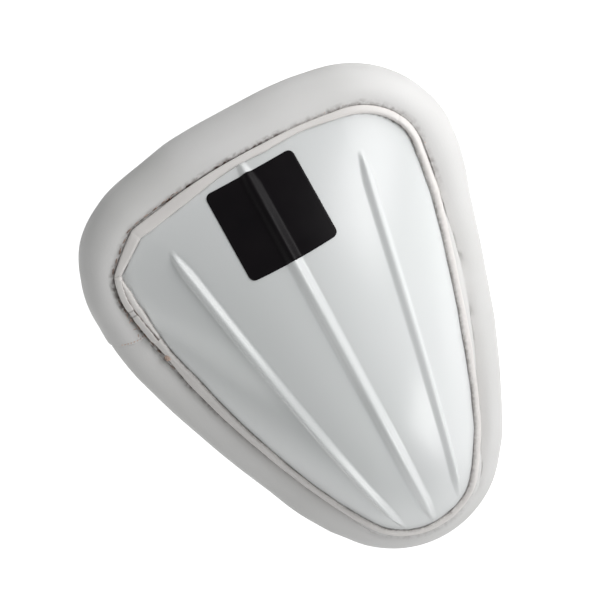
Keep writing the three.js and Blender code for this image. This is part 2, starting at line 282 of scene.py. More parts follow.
# End of the roll's cover, lapped over its start on the left along a slanting line
LAP_SHARE = 0.8095
LAP_SLANT_SHARE = 0.0095
LAP_RISE = 0.55
LAP_DIP = 0.1
LAP_FADE_SHARE = 0.09
LAP_STAIN = 0.3
LAP_STAIN_WIDTH = 0.2
LAP_STAIN_FADES_FROM = 5
LAP_STAIN_FADES_TO = 14
LAP_SPACINGS = (0.12, 0.45)

# Label: a square laid over the middle rib
LABEL_SIZE = 30.6
LABEL_X = 0.9
LABEL_Y = 52.2
LABEL_SLOPE = math.radians(26)
LABEL_CORNER = 2
LABEL_THICKNESS = 0.14
LABEL_LIFT = 0.08

# Sewing along the crease, which shows only where the crease's grime and painted shade are strong
SEED = 4
STITCH_PITCH = 3.5
STITCH_LENGTH = 2.4
STITCH_SHARES = (0.8, 1.1)
STITCH_SWING = 9
STITCH_LIFTS = (0.9, 1.2)
STITCH_OUTSIDE = 0.7
SEWING_STAIN_AND_SHADE = 0.45
THREAD_RADIUS = 0.24

# Knot of two loops at the thread's end
KNOT_SHARE = 0.7874
KNOT_INWARDS = 2.0
KNOT_LIFT = 1.6
KNOT_SWING = math.radians(25)
KnotLoop = namedtuple("KnotLoop", "lift tilt major minor")
KNOT_LOOPS = (KnotLoop(0.0, 0.0, 0.75, 0.36), KnotLoop(0.4, 0.5, 0.5, 0.3))

# Stitches along the lap, at turns about the roll
LAP_STITCHES = 8
LAP_STITCH_OFFSET = 0.8
LAP_STITCH_LENGTH = 0.6
LAP_STITCH_RADIUS = 0.2
LAP_SEWN_FROM = -0.15
LAP_SEWN_TO = 0.6

# Loose ends of thread: those on the roll one by one, and runs of frays along the crease
LooseEnd = namedtuple("LooseEnd", "share turn swing length")
LOOSE_ENDS = (
    LooseEnd(0.8325, -0.15, 0.9, 2.0),
    LooseEnd(0.8275, -0.12, 0.5, 1.7),
    LooseEnd(0.82, -0.1, -0.4, 1.5),
    LooseEnd(0.8145, -0.05, 1.0, 1.2),
)
FrayRun = namedtuple("FrayRun", "start end count")
FRAY_RUNS = (FrayRun(0.118, 0.172, 16), FrayRun(0.93, 1.0, 16), FrayRun(0.07, 0.1, 8))
FRAY_RADIUS = 0.13
FRAY_OUTSIDE = (0.4, 1.2)
FRAY_LIFTS = (1.1, 1.4)
FRAY_SWINGS = (-1.2, 1.2)
FRAY_LENGTHS = (0.6, 1.4)

# Steps of the meshes
PANEL_STEPS = 14
RIB_STEPS = 20
CUP_ROWS = 150
ROLL_STATIONS = 400
ROLL_ARC_STEPS = 44
HEM_STATIONS = 520
HEM_STEPS = 16
LAYER_STEPS = 130
LAYER_SECTION_STEPS = 16
LABEL_STEPS = 64
THREAD_SIDES = 8
STITCH_RINGS = 6
LOOP_STEPS = 14
HALVINGS = 18


def lerp(start, end, share):
    return start + (end - start) * share


def clamp(value, low, high):
    return max(low, min(high, value))


def smoothstep(value, low, high):
    share = clamp((value - low) / (high - low), 0.0, 1.0)
    return share * share * (3 - 2 * share)


def row_value(rows, share, column):
    """Value of a column between the table's rows, which are in order of share."""
    for before, after in zip(rows, rows[1:]):
        if share <= after.share:
            place = (share - before.share) / (after.share - before.share)
            return lerp(getattr(before, column), getattr(after, column), place)
    return getattr(rows[-1], column)


def wobble(share, kind):
    """Smooth unevenness that closes on itself round the seam."""
    turn = 2 * math.pi * share
    reach = kind.cycles / (2 * math.pi)
    place = Vector((reach * math.cos(turn), reach * math.sin(turn), kind.seed))
    return kind.amount * noise.noise(place)


# Seam paths

Arc = namedtuple("Arc", "centre radius start end")
SeamPlace = namedtuple("SeamPlace", "point outward")


def bearing(origin, target):
    return math.atan2(target.y - origin.y, target.x - origin.x)


def seam_arcs(outwards):
    """Arcs of the right half of the seam, moved outwards, from the top to the tip."""
    top = Vector((0, SEAM_TOP_Y - TOP_RADIUS))
    tip = Vector((0, SEAM_TIP_Y + TIP_RADIUS))
    corner_x = SEAM_HALF_WIDTH - CORNER_RADIUS
    corner_rise = math.sqrt((TOP_RADIUS - CORNER_RADIUS) ** 2 - corner_x**2)
    corner = Vector((corner_x, top.y + corner_rise))
    to_corner = SIDE_RADIUS - CORNER_RADIUS
    to_tip = SIDE_RADIUS - TIP_RADIUS
    span = tip - corner
    along = (to_corner**2 - to_tip**2 + span.length_squared) / (2 * span.length)
    aside = math.sqrt(to_corner**2 - along**2)
    way = span.normalized()
    side = corner + along * way + aside * Vector((way.y, -way.x))
    corner_start = bearing(top, corner)
    side_start = bearing(side, corner)
    tip_start = bearing(side, tip)
    return (
        Arc(top, TOP_RADIUS + outwards, math.pi / 2, corner_start),
        Arc(corner, CORNER_RADIUS + outwards, corner_start, side_start),
        Arc(side, SIDE_RADIUS + outwards, side_start, tip_start),
        Arc(tip, TIP_RADIUS + outwards, tip_start, -math.pi / 2),
    )


def arc_length(arc):
    return arc.radius * (arc.start - arc.end)


def arc_point(arc, angle):
    return arc.centre + arc.radius * Vector((math.cos(angle), math.sin(angle)))


SEAM = seam_arcs(0)
RIM = seam_arcs(FLANGE)
SEAM_LENGTH = 2 * sum(map(arc_length, SEAM))
RIM_LENGTH = 2 * sum(map(arc_length, RIM))


def on_path(arcs, length, share):
    """Point and outward direction on a seam path."""
    turn = share % 1.0
    on_left = turn > 0.5
    remaining = (1 - turn if on_left else turn) * length
    for arc in arcs[:-1]:
        if remaining <= arc_length(arc):
            break
        remaining -= arc_length(arc)
    else:
        arc = arcs[-1]
    angle = arc.start - remaining / arc.radius
    point = arc_point(arc, angle)
    outward = Vector((math.cos(angle), math.sin(angle)))
    if on_left:
        point.x *= -1
        outward.x *= -1
    return SeamPlace(point, outward)


@lru_cache(maxsize=None)
def on_seam(share):
    return on_path(SEAM, SEAM_LENGTH, share)


@lru_cache(maxsize=None)
def on_rim(share):
    return on_path(RIM, RIM_LENGTH, share)


# Dome of the cup

CROWN = Vector((0, CROWN_Y))
SEAM_BEARINGS = [bearing(CROWN, arc_point(arc, arc.end)) for arc in SEAM[:-1]]


def seam_reach(x, y):
    """Distance from the crown to the seam in a direction."""
    ray = Vector((abs(x), y)).normalized()
    ray_bearing = math.atan2(ray.y, ray.x)
    arc = SEAM[sum(ray_bearing < edge for edge in SEAM_BEARINGS)]
    to_centre = arc.centre - CROWN
    along = ray.dot(to_centre)
    return along + math.sqrt(along**2 - to_centre.length_squared + arc.radius**2)


def dome_height(x, y):
    """Height of the cup's outer face without ribs: its level lines go from an ellipse to the seam."""
    base = lerp(SEAM_TIP_HEIGHT, SEAM_TOP_HEIGHT, (y - SEAM_TIP_Y) / (SEAM_TOP_Y - SEAM_TIP_Y))
    ahead = y - CROWN_Y
    distance = math.hypot(x, ahead)
    seam_share = distance / seam_reach(x, ahead) if distance > 0 else 0
    crown_length = CROWN_TO_TOP if ahead > 0 else CROWN_TO_TIP
    ellipse = (x / CROWN_HALF_WIDTH) ** 2 + (ahead / crown_length) ** 2
    outline_weight = min(seam_share, 1) ** 2
    return base + CROWN_RISE * (1 - lerp(ellipse, seam_share**2, outline_weight))


def dome_normal(x, y):
    step = 0.05
    slope_x = (dome_height(x + step, y) - dome_height(x - step, y)) / (2 * step)
    slope_y = (dome_height(x, y + step) - dome_height(x, y - step)) / (2 * step)
    return Vector((-slope_x, -slope_y, 1)).normalized()


def above_dome(plan, lift):
    """Point a distance above the dome, square to it."""
    foot = Vector((plan.x, plan.y, dome_height(plan.x, plan.y)))
    return foot + lift * dome_normal(plan.x, plan.y)


def seam_spot(share, inwards, lift):
    """Point a distance inside the seam and above the dome."""
    place = on_seam(share)
    return above_dome(place.point - inwards * place.outward, lift)


# Plan of the cup and its ribs

RIM_LENGTHS = [arc_length(arc) for arc in RIM]
CORNER_SHARE = (RIM_LENGTHS[0] + RIM_LENGTHS[1] / 2) / RIM_LENGTH
TIP_CORNER_SHARE = 0.5 - TIP_PART * RIM_LENGTHS[3] / RIM_LENGTH


def top_edge(across):
    return on_rim(across * CORNER_SHARE).point


def tip_edge(across):
    return on_rim(0.5 - across * (0.5 - TIP_CORNER_SHARE)).point


def cup_plan(along, across):
    """Plan of the cup: along runs from the top edge (0) to the tip (1), and across from the left
    side (-1) to the right (1)."""
    right = on_rim(lerp(CORNER_SHARE, TIP_CORNER_SHARE, along)).point
    left = Vector((-right.x, right.y))
    rightward = (across + 1) / 2
    ends = top_edge(across).lerp(tip_edge(across), along)
    sides = left.lerp(right, rightward)
    left_corners = top_edge(-1).lerp(tip_edge(-1), along)
    right_corners = top_edge(1).lerp(tip_edge(1), along)
    return ends + sides - left_corners.lerp(right_corners, rightward)


def rib_across(rib, along):
    return lerp(rib.tip_across, rib.top_across, (1 - along) ** 2) + rib.sway * along**3


@lru_cache(maxsize=None)
def rib_crest(rib, along):
    return cup_plan(along, rib_across(rib, along))


def rib_section(offset, half_width):
    """A rib's rounded section, 1 on its crest and 0 at its feet."""
    share = clamp(offset / half_width, 0, 1)
    return math.cos(share * math.pi / 2) ** 2


def rib_end(rib, along):
    """Height and width of a rib along its length, as shares: a blunt round start and a pointed end."""
    start = clamp((along - rib.start) / RIB_START_SHARE, 0, 1)
    end = clamp((rib.end - along) / RIB_END_SHARE, 0, 1)
    height = math.sqrt(1 - (1 - start) ** 2) * smoothstep(end, 0, 1)
    narrowing = lerp(1, RIB_TIP_WIDTH, along)
    width = narrowing * lerp(RIB_START_WIDTH, 1, start) * lerp(RIB_END_WIDTH, 1, end)
    return height, width


def rib_lift(along, plan):
    lifts = []
    for rib in RIBS:
        offset = (plan - rib_crest(rib, along)).length
        height, width = rib_end(rib, along)
        lifts.append(rib.height * height * rib_section(offset, rib.half_width * width))
    return max(lifts)


@lru_cache(maxsize=None)
def cup_columns(along):
    """Places of the cup's columns in one row, closer together on the ribs."""
    half_width = cup_plan(along, 1).x
    stops = [-1]
    for rib in RIBS:
        middle = rib_across(rib, along)
        stops += [middle - rib.half_width / half_width, middle + rib.half_width / half_width]
    stops.append(1)
    columns = []
    for index, (start, end) in enumerate(zip(stops, stops[1:])):
        steps = PANEL_STEPS if index % 2 == 0 else RIB_STEPS
        columns += [lerp(start, end, step / steps) for step in range(steps)]
    return columns + [1]


# Making of meshes

def link_piece(name, bm, finish):
    """Object at the origin from a bmesh, smooth all over."""
    for face in bm.faces:
        face.smooth = True
    mesh = bpy.data.meshes.new(name)
    bm.to_mesh(mesh)
    bm.free()
    mesh.materials.append(finish)
    piece = bpy.data.objects.new(name, mesh)
    bpy.context.scene.collection.objects.link(piece)
    return piece


def grid_shares(vertex, columns, rows):
    """Column and row of a vertex of a grid that is one unit wide."""
    return round((vertex.co.x + 0.5) * columns), round((vertex.co.y + 0.5) * rows)


def join_solid(bm):
    """Joins a closed surface along its meeting edges and turns its faces outwards."""
    bmesh.ops.remove_doubles(bm, verts=bm.verts, dist=WELD)
    bmesh.ops.recalc_face_normals(bm, faces=bm.faces)


def closed_ring(stations, section_at, layers):
    """Sections with the same number of spots follow each other round the seam. A spot's other fields
    become the vertex values of the same names."""
    sections = [section_at(share) for share in stations]
    count = len(sections[0])
    bm = bmesh.new()
    bmesh.ops.create_grid(bm, x_segments=len(stations), y_segments=count, size=0.5)
    values = {layer: bm.verts.layers.float.new(layer) for layer in layers}
    for vertex in bm.verts:
        column, row = grid_shares(vertex, len(stations), count)
        spot = sections[column % len(stations)][row % count]
        vertex.co = spot.place * MM
        for layer, value in values.items():
            vertex[value] = getattr(spot, layer)
    join_solid(bm)
    return bm


def even_stations(count, close_to, spacings):
    """Places evenly round the seam, with closer ones on both sides of some places."""
    nearest = 1.5 * max(spacings) / SEAM_LENGTH
    stations = [step / count for step in range(count)]
    stations = [share for share in stations if all(abs(share - place) > nearest for place in close_to)]
    for place in close_to:
        for spacing in spacings:
            stations += [place - spacing / SEAM_LENGTH, place + spacing / SEAM_LENGTH]
    return sorted(stations)


# Ribbed cup

def hem_edge(share):
    """Distance of the hem's inner edge from the seam."""
    return hem_tuck(share) + hem_width(share)


def hem_edge_tree(count):
    """Places of the hem's inner edge in plan, to find what lies beside it."""
    tree = kdtree.KDTree(count)
    for index in range(count):
        place = on_seam(index / count)
        edge = place.point - hem_edge(index / count) * place.outward
        tree.insert(edge.to_3d(), index)
    tree.balance()
    return tree


def make_cup(finish):
    columns = len(cup_columns(0.0)) - 1
    edge_count = 4 * HEM_STATIONS
    edge_tree = hem_edge_tree(edge_count)
    bm = bmesh.new()
    bmesh.ops.create_grid(bm, x_segments=columns, y_segments=CUP_ROWS, size=0.5)
    distance_layer = bm.verts.layers.float.new("hem_distance")
    dirt_and_shade_layer = bm.verts.layers.float.new("hem_dirt_and_shade")
    for vertex in bm.verts:
        column, row = grid_shares(vertex, columns, CUP_ROWS)
        along = 1 - row / CUP_ROWS
        plan = cup_plan(along, cup_columns(along)[column])
        vertex.co = above_dome(plan, rib_lift(along, plan)) * MM
        _, edge_index, distance = edge_tree.find(plan.to_3d())
        vertex[distance_layer] = distance
        # Painted shade with grime on the cup along the hem's inner edge, stronger where the hem stands
        # higher off it
        vertex[dirt_and_shade_layer] = CUP_GRIME_AND_SHADE * row_value(HEM_ROWS, edge_index / edge_count, "under")
    cup = link_piece("ribbed_cup", bm, finish)
    wall = cup.modifiers.new("wall", "SOLIDIFY")
    wall.thickness = WALL * MM
    wall.offset = -1
    wall.use_even_offset = True
    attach(cup, "root")
    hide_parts("shell")


# Padded roll

RollSpot = namedtuple("RollSpot", "place grime lap sewn")
RollRing = namedtuple("RollRing", "radius centre_out centre_z start_turn end_turn")


def seam_lean(share):
    """Lean of the seam in radians, eased between the rows and alike on both sides."""
    half_share = 2 * (share if share <= 0.5 else 1 - share)
    for before, after in zip(LEAN_ROWS, LEAN_ROWS[1:]):
        if half_share <= after.share:
            place = smoothstep(half_share, before.share, after.share)
            return math.radians(lerp(before.lean, after.lean, place))
    return math.radians(LEAN_ROWS[-1].lean)


@lru_cache(maxsize=None)
def roll_ring(share):
    """Circle of the roll at a place on the seam, and where it meets the cup's inner face."""
    place = on_seam(share)
    lean = seam_lean(share)
    radius = (above_dome(place.point, SLOT_GAP).z + REST_FLAT) / (1 + math.cos(lean))
    centre_out = radius * math.sin(lean)
    centre_z = radius - REST_FLAT
    centre = (place.point + centre_out * place.outward).to_3d()
    centre.z = centre_z
    inside = 0.0
    outside = radius
    for _ in range(HALVINGS):
        middle = (inside + outside) / 2
        rear = seam_spot(share, middle, -WALL - SLOT_GAP)
        if (rear - centre).length > radius:
            outside = middle
        else:
            inside = middle
    rear = seam_spot(share, inside, -WALL - SLOT_GAP)
    rear_out = (rear - centre).to_2d().dot(place.outward)
    end_turn = 2 * math.pi + math.atan2(rear_out, rear.z - centre_z)
    return RollRing(radius, centre_out, centre_z, -lean, end_turn)


def lap_shift(share, turn):
    """The lap's edge slants, so places near it move round the seam with their turn about the roll."""
    nearness = 1 - smoothstep(abs(share - LAP_SHARE), 0, LAP_FADE_SHARE / 2)
    return LAP_SLANT_SHARE * nearness * clamp(turn / (math.pi / 2), 0, 1)


def held_ends(turn, ring):
    """0 where the cover is held at both ends of its round, and 1 away from them."""
    from_front = smoothstep(turn - ring.start_turn, 0, HELD_TURN)
    from_rear = smoothstep(ring.end_turn - turn, 0, HELD_TURN)
    return from_front * from_rear


def lap_offset(share, turn, ring):
    """Change of the roll's radius beside the lap's edge."""
    past = share - LAP_SHARE
    fade = 1 - clamp(abs(past) / LAP_FADE_SHARE, 0, 1)
    return fade * (LAP_RISE if past > 0 else -LAP_DIP) * held_ends(turn, ring)


def stitch_pull(share):
    """How near a place is to a stitch, 1 at the needle's hole."""
    place = share * round(SEAM_LENGTH / STITCH_PITCH)
    return 0.5 + 0.5 * math.cos(2 * math.pi * place)


def roll_slack(share, turn):
    """How far inside its full round the cover starts before it is blown out, uneven along the roll."""
    around = Vector((math.cos(2 * math.pi * share), math.sin(2 * math.pi * share), 0.0)) * SLACK_PATCHES
    around.z = SLACK_PATCH_TURN * turn
    return COVER_SLACK * (1 + SLACK_UNEVENNESS * noise.noise(around))


def roll_turns(ring, edge):
    """Turns of the roll's spots about its middle, closer together beside the sewing."""
    past_seam = [distance - edge for distance in NEAR_SEWING if distance > edge]
    near = [ring.start_turn + distance / ring.radius for distance in past_seam]
    first = near[-1] if near else ring.start_turn
    steps = range(1, ROLL_ARC_STEPS + 1)
    return near + [lerp(first, ring.end_turn, step / ROLL_ARC_STEPS) for step in steps]


def pillow(from_seam, edge):
    """How far the filling swells the cover beside its sewing."""
    start = 1 - math.exp(-(from_seam + edge) / PILLOW_START)
    return PILLOW * start * math.exp(-from_seam / PILLOW_FADE)


def crease_line(share, from_edge):
    """Grime and painted shade on the roll beside the hem's outer edge, darkest at the needle's holes."""
    stain = row_value(HEM_ROWS, share, "stain")
    stain *= STAIN_AND_SHADE_STRENGTH + wobble(share, STAIN_AND_SHADE_WOBBLE)
    lean = HEM_LEAN - TOP_LEAN_LOSS * on_seam(share).outward.y + wobble(share, LEAN_WOBBLE)
    beside = 1 - smoothstep(from_edge, lean, lean + STAIN_AND_SHADE_WIDTH)
    return stain * beside * lerp(STAIN_AND_SHADE_BETWEEN, 1, stitch_pull(share))


def hollow_spots(share, edge):
    """Spots of the roll's cover from under the hem to the seam."""
    spots = []
    for from_edge in (-UNDER_HEM, 0.0) + tuple(near for near in NEAR_SEWING if near <= edge):
        swell = 1 - math.exp(-max(from_edge, 0) / PILLOW_START)
        lift = lerp(HOLLOW_LIFT, SLOT_GAP + PILLOW, swell)
        place = seam_spot(share, edge - from_edge, lift)
        spots.append(RollSpot(place, crease_line(share, max(from_edge, 0)), 0, 1))
    return spots


def roll_section(share, slack_share):
    """Spots round the roll from under the hem to the cup's inner face, then round the flange's slot."""
    start = roll_ring(share)
    edge = max(hem_outer(share), 0)
    turns = roll_turns(start, edge)
    pull = stitch_pull(share)
    from_lap = (share - LAP_SHARE) * SEAM_LENGTH
    lap_line = LAP_STAIN * math.exp(-((from_lap / LAP_STAIN_WIDTH) ** 2))
    spots = hollow_spots(share, edge)
    for turn in turns:
        here = share + lap_shift(share, turn)
        place = on_seam(here)
        ring = roll_ring(here)
        ease = held_ends(turn, ring)
        from_seam = ring.radius * (turn - ring.start_turn)
        swell = row_value(SWELL_ROWS, here % 1, "swell") * math.sin(clamp(turn, 0, math.pi)) ** 2
        swell += pillow(from_seam, edge)
        reach = ring.radius + swell - slack_share * roll_slack(here, turn) * ease
        plan = place.point + (ring.centre_out + reach * math.sin(turn)) * place.outward
        height = ring.centre_z + reach * math.cos(turn)
        sewn = STITCH_HOLD * pull**3 * math.exp(-from_seam)
        if height <= 0 or turn == turns[-1] or from_seam < SEWN_REACH:
            sewn = 1
        lap_grime = lap_line * (1 - smoothstep(from_seam, LAP_STAIN_FADES_FROM, LAP_STAIN_FADES_TO))
        # Grime and painted shade of the crease, or the dark line along the lap's edge
        grime = max(crease_line(share, edge + from_seam), lap_grime)
        spot = Vector((plan.x, plan.y, max(height, 0)))
        spots.append(RollSpot(spot, grime, lap_offset(share, turn, ring), sewn))
    spots.append(RollSpot(seam_spot(share, -FLANGE - SLOT_GAP, -WALL - SLOT_GAP), 0, 0, 1))
    spots.append(RollSpot(seam_spot(share, -FLANGE - SLOT_GAP, SLOT_GAP), 0, 0, 1))
    return spots


def blow_out(roll):
    """Cloth run: the filling blows out the slack cover, which is held at its sewing and its rest."""
    scene = bpy.context.scene
    before = [vertex.co.copy() for vertex in roll.data.vertices]
    sewn = roll.vertex_groups.new(name="sewn")
    for index, weight in enumerate(roll.data.attributes["sewn"].data):
        sewn.add([index], weight.value, "REPLACE")
    cover = roll.modifiers.new("cover", "CLOTH")
    cloth = cover.settings
    cloth.quality = 6
    cloth.mass = COVER_MASS
    cloth.tension_stiffness = 1
    cloth.compression_stiffness = 1
    cloth.shear_stiffness = 0.5
    cloth.bending_stiffness = 1
    cloth.tension_damping = 10
    cloth.air_damping = 2
    cloth.use_pressure = True
    cloth.uniform_pressure_force = COVER_PRESSURE
    cloth.effector_weights.gravity = 0
    cloth.vertex_group_mass = "sewn"
    cover.point_cache.frame_start = 1
    cover.point_cache.frame_end = COVER_FRAMES
    for step in range(1, COVER_FRAMES + 1):
        scene.frame_set(step)
    blown = roll.evaluated_get(bpy.context.evaluated_depsgraph_get())
    after = [vertex.co.copy() for vertex in blown.data.vertices]
    roll.modifiers.remove(cover)
    scene.frame_set(1)
    limit = COVER_TRAVEL * MM
    for vertex, old, new in zip(roll.data.vertices, before, after):
        move = new - old
        if move.length > limit:
            move *= limit / move.length
        vertex.co = old + move
        vertex.co.z = max(vertex.co.z, 0)
    roll.data.update()


def make_roll(finish):
    stations = even_stations(ROLL_STATIONS, (LAP_SHARE,), LAP_SPACINGS)
    slack_share = 1
    bm = closed_ring(stations, lambda share: roll_section(share, slack_share), ("grime", "lap", "sewn"))
    roll = link_piece("padded_roll", bm, finish)
    blow_out(roll)
    lap = roll.data.attributes["lap"].data
    normals = [vertex.normal.copy() for vertex in roll.data.vertices]
    for vertex, normal in zip(roll.data.vertices, normals):
        vertex.co += lap[vertex.index].value * MM * normal
        vertex.co.z = max(vertex.co.z, 0)
    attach(roll, "root")
    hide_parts("edge_roll")
    return roll


# Front hem

HemSpot = namedtuple("HemSpot", "place grime layer_distance")


def hem_width(share):
    return row_value(HEM_ROWS, share, "width") + wobble(share, WIDTH_WOBBLE)


def hem_tuck(share):
    """How far the hem cuts inside the round of its corner."""
    place = clamp((share - RUN_START) / (RUN_END - RUN_START), 0, 1)
    return RUN_TUCK * (1 - (2 * place - 1) ** 2)


def hem_outer(share):
    """Distance of the hem's outer edge inside the seam, or outside it where it laps over the roll."""
    return hem_tuck(share) + row_value(HEM_ROWS, share, "crease")


def hem_fold(share):
    """Lift of the hem beside its folds, with a crease at each."""
    lift = 0
    for fold in HEM_FOLDS:
        distance = (share - fold.share) * SEAM_LENGTH
        lift += fold.lift * (1 - smoothstep(abs(distance), 0, FOLD_LENGTH))
        lift -= fold.crease * math.exp(-((distance / FOLD_CREASE_WIDTH) ** 2))
    return lift


def hem_section(share):
    """Spots over the hem from its inner lower edge to its outer one: a flat strip or a leaning bead."""
    bead = row_value(HEM_ROWS, share, "bead")
    stain = row_value(HEM_ROWS, share, "stain")
    under = row_value(HEM_ROWS, share, "under") * (1 + wobble(share, UNDER_WOBBLE))
    inner = hem_edge(share)
    outer = hem_outer(share)
    uneven = hem_fold(share) + wobble(share, HEIGHT_WOBBLE)
    has_layer = LAYER_START < share < LAYER_END
    spots = []
    for step in range(HEM_STEPS + 1):
        angle = math.pi * step / HEM_STEPS
        swing = -math.cos(angle)
        flat_place = 0.5 + 0.5 * math.copysign(abs(swing) ** HEM_ROUND, swing)
        rise = max(math.sin(angle), 0) ** HEM_ROUND
        outwards = lerp(flat_place, step / HEM_STEPS, bead)
        ridge = max(math.sin(math.pi * outwards**BEAD_LEAN), 0)
        top = lerp(rise * HEM_THICKNESS, ridge * BEAD_HEIGHT, bead) + rise * uneven
        lift = lerp(under, HEM_OUTER_LIFT, outwards) + top
        # On the hem's low part: grime and painted shade of the crease on the outer side, painted shade
        # with grime under the inner edge
        low = 1 - smoothstep(rise, 0, LOW_PART)
        # Painted shade on the bead's inner slope
        bead_shade = BEAD_SHADE * bead * (1 - smoothstep(outwards, BEAD_SHADE_START, BEAD_SHADE_END))
        grime = max(low * (stain if outwards > 0.5 else UNDER_GRIME_AND_SHADE * under), bead_shade)
        inwards = lerp(inner, outer, outwards)
        # Distance to the painted shadow line on the hem beside the layer
        beside_layer = inwards - outer - LAYER_WIDTH - LINE_OFFSET if has_layer else NO_LAYER
        spots.append(HemSpot(seam_spot(share, inwards, lift), grime, beside_layer))
    return spots


def make_hem(finish):
    folds = [fold.share for fold in HEM_FOLDS]
    stations = even_stations(HEM_STATIONS, folds, FOLD_SPACINGS)
    bm = closed_ring(stations, hem_section, ("grime", "layer_distance"))
    hem = link_piece("front_hem", bm, finish)
    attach(hem, "root")
    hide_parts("hem")


def from_waist(share):
    return (share - LAYER_WAIST) * SEAM_LENGTH


def layer_spot(along, around):
    """Point of the hem's second layer: along it from 0 to 1, and around its section."""
    share = lerp(LAYER_START, LAYER_END, along)
    length = (LAYER_END - LAYER_START) * SEAM_LENGTH
    end = min(along, 1 - along) * length
    round_end = math.sqrt(1 - (1 - clamp(end / LAYER_END_ROUND, 0, 1)) ** 2)
    waist = 1 - WAIST_DEPTH * math.exp(-((from_waist(share) / WAIST_LENGTH) ** 2))
    angle = 2 * math.pi * around
    swing = -math.cos(angle)
    height = math.sin(angle)
    size = waist * round_end
    across = math.copysign(abs(swing) ** LAYER_SIDE_ROUND, swing) * LAYER_WIDTH / 2 * size
    lift = math.copysign(abs(height) ** LAYER_TOP_ROUND, height) * LAYER_THICKNESS / 2 * size
    middle = hem_outer(share) + LAYER_WIDTH / 2 + LAYER_INSET
    bed = row_value(HEM_ROWS, share, "under") + HEM_THICKNESS + LAYER_BED
    return seam_spot(share, middle - across, bed + lift)


def make_layer(finish):
    bm = bmesh.new()
    bmesh.ops.create_grid(bm, x_segments=LAYER_STEPS, y_segments=LAYER_SECTION_STEPS, size=0.5)
    grime_and_shade_layer = bm.verts.layers.float.new("grime")
    distance_layer = bm.verts.layers.float.new("layer_distance")
    for vertex in bm.verts:
        vertex[distance_layer] = NO_LAYER
        column, row = grid_shares(vertex, LAYER_STEPS, LAYER_SECTION_STEPS)
        along = column / LAYER_STEPS
        around = (row % LAYER_SECTION_STEPS) / LAYER_SECTION_STEPS
        vertex.co = layer_spot(along, around) * MM
        from_tie = abs(from_waist(lerp(LAYER_START, LAYER_END, along))) - TIE_DISTANCE
        tied = TIE_DARKNESS * math.exp(-((from_tie / TIE_WIDTH) ** 2))
        # Painted shade on the layer's lower half, and dark lines either side of its waist
        low = smoothstep(-math.sin(2 * math.pi * around), LAYER_UNSHADED, LAYER_SHADED)
        vertex[grime_and_shade_layer] = max(low, tied)
    join_solid(bm)
    layer = link_piece("hem_layer", bm, finish)
    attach(layer, "root")


# Plain label

def rounded_square(across, along):
    """Point of a square with round corners, both places running from -1 to 1."""
    half = LABEL_SIZE / 2
    size = max(abs(across), abs(along))
    corner = LABEL_CORNER * size
    reach = half * size - corner
    point = Vector((across, along)) * half
    centre = Vector((clamp(point.x, -reach, reach), clamp(point.y, -reach, reach)))
    from_centre = point - centre
    if from_centre.length <= corner:
        return point
    return centre + from_centre.normalized() * corner


@lru_cache(maxsize=None)
def along_at(y):
    """How far along the cup a place on its middle line lies."""
    low = 0.0
    high = 1.0
    for _ in range(HALVINGS):
        middle = (low + high) / 2
        if cup_plan(middle, 0).y > y:
            low = middle
        else:
            high = middle
    return low


def make_label(finish):
    """A thin film on the cup's face, which follows the rib below it."""
    middle_rib = RIBS[1]
    bm = bmesh.new()
    bmesh.ops.create_grid(bm, x_segments=LABEL_STEPS, y_segments=LABEL_STEPS, size=1)
    for vertex in bm.verts:
        flat = rounded_square(vertex.co.x, vertex.co.y)
        plan = Vector((LABEL_X + flat.x, LABEL_Y + flat.y * math.cos(LABEL_SLOPE)))
        along = along_at(plan.y)
        height, width = rib_end(middle_rib, along)
        offset = abs(plan.x - rib_crest(middle_rib, along).x)
        fold = height * rib_section(offset, middle_rib.half_width * width)
        vertex.co = above_dome(plan, middle_rib.height * fold + LABEL_LIFT) * MM
    label = link_piece("plain_label", bm, finish)
    film = label.modifiers.new("film", "SOLIDIFY")
    film.thickness = LABEL_THICKNESS * MM
    film.offset = 1
    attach(label, "root")
    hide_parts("label")


# Sewing

def thread_frame(share, inwards, lift, swing):
    """Matrix at a place beside the seam: X along the thread, Z off the cup's face."""
    step = 0.5 / SEAM_LENGTH
    ahead = seam_spot(share + step, inwards, lift)
    behind = seam_spot(share - step, inwards, lift)
    along = (ahead - behind).normalized()
    place = on_seam(share)
    plan = place.point - inwards * place.outward
    up = dome_normal(plan.x, plan.y)
    up = (up - up.dot(along) * along).normalized()
    side = up.cross(along)
    axes = Matrix((along, side, up)).transposed().to_4x4()
    centre = Matrix.Translation(seam_spot(share, inwards, lift) * MM)
    return centre @ axes @ Matrix.Rotation(swing, 4, "Z")


def add_stitch(bm, matrix, length, radius):
    size = Matrix.Diagonal((length / 2 * MM, radius * MM, radius * MM, 1))
    bmesh.ops.create_uvsphere(
        bm,
        u_segments=THREAD_SIDES,
        v_segments=STITCH_RINGS,
        radius=1,
        matrix=matrix @ size,
    )


def make_stitches(finish):
    draw = random.Random(SEED)
    count = round(SEAM_LENGTH / STITCH_PITCH)
    bm = bmesh.new()
    for index in range(count):
        share = (index + 0.5) / count
        if row_value(HEM_ROWS, share, "stain") < SEWING_STAIN_AND_SHADE:
            continue
        length = STITCH_LENGTH * draw.uniform(*STITCH_SHARES)
        swing = math.radians(draw.uniform(-STITCH_SWING, STITCH_SWING))
        lift = draw.uniform(*STITCH_LIFTS)
        matrix = thread_frame(share, hem_outer(share) - STITCH_OUTSIDE, lift, swing)
        add_stitch(bm, matrix, length, THREAD_RADIUS)
    bmesh.ops.recalc_face_normals(bm, faces=bm.faces)
    stitches = link_piece("seam_stitches", bm, finish)
    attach(stitches, "root")


